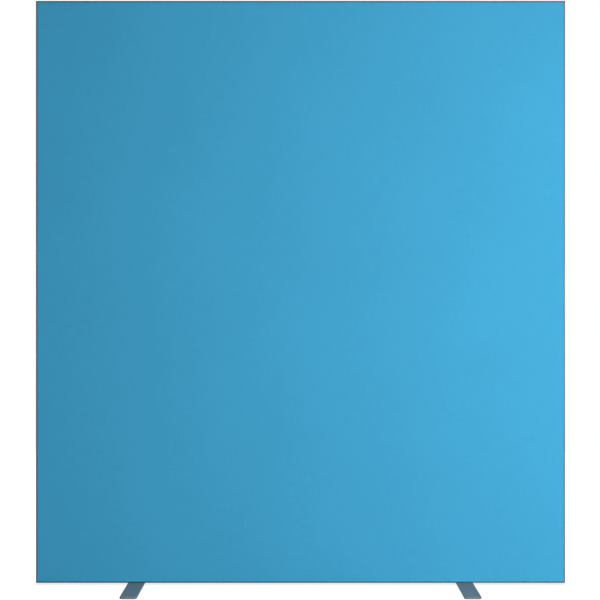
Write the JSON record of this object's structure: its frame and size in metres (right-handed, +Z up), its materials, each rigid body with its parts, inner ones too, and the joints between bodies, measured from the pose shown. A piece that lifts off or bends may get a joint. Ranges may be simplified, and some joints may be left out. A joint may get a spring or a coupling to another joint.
{
  "type": "partition screen",
  "caption": "Free-standing flat partition screen with stretched fabric faces in a slim mitred frame, on flat steel feet.",
  "frame": {"origin": "on the floor, below the middle of the screen's width and thickness", "axes": "+X to the right along the screen as seen from the front, +Y from the front to the back, +Z up from the floor"},
  "size_m": [1.6, 0.4, 1.766],
  "materials": {
    "frame_coat": "satin",
    "foot_coat": "satin",
    "fabric_blue": "matte",
    "bare_aluminium": "satin",
    "zinc_steel": "satin",
    "dark_rubber": "matte",
    "keder_silicone": "satin",
    "felt": "matte",
    "fleece": "matte"
  },
  "bodies": {
    "root": {"cleat_screws": "zinc_steel", "corner_cleat_bottom_left": "bare_aluminium", "corner_cleat_bottom_right": "bare_aluminium", "corner_cleat_top_left": "bare_aluminium", "corner_cleat_top_right": "bare_aluminium", "fabric_cover_front": "fabric_blue", "fabric_cover_rear": "fabric_blue", "felt_board_front": "felt", "felt_board_rear": "felt", "foot_bolts": "zinc_steel", "foot_left": "foot_coat", "foot_pads_left": "dark_rubber", "foot_pads_right": "dark_rubber", "foot_right": "foot_coat", "frame_bottom_rail": "frame_coat", "frame_left_stile": "frame_coat", "frame_right_stile": "frame_coat", "frame_top_rail": "frame_coat", "infill_centre": "fleece", "infill_left": "fleece", "infill_right": "fleece", "keder_front_bottom": "keder_silicone", "keder_front_left": "keder_silicone", "keder_front_right": "keder_silicone", "keder_front_top": "keder_silicone", "keder_rear_bottom": "keder_silicone", "keder_rear_left": "keder_silicone", "keder_rear_right": "keder_silicone", "keder_rear_top": "keder_silicone", "mitre_angle_bottom_left": "bare_aluminium", "mitre_angle_bottom_right": "bare_aluminium", "mitre_angle_top_left": "bare_aluminium", "mitre_angle_top_right": "bare_aluminium", "rail_screws": "zinc_steel", "rail_spacer_left": "bare_aluminium", "rail_spacer_right": "bare_aluminium", "slot_nuts": "zinc_steel", "upright_left": "zinc_steel", "upright_right": "zinc_steel"}
  },
  "joints": []
}
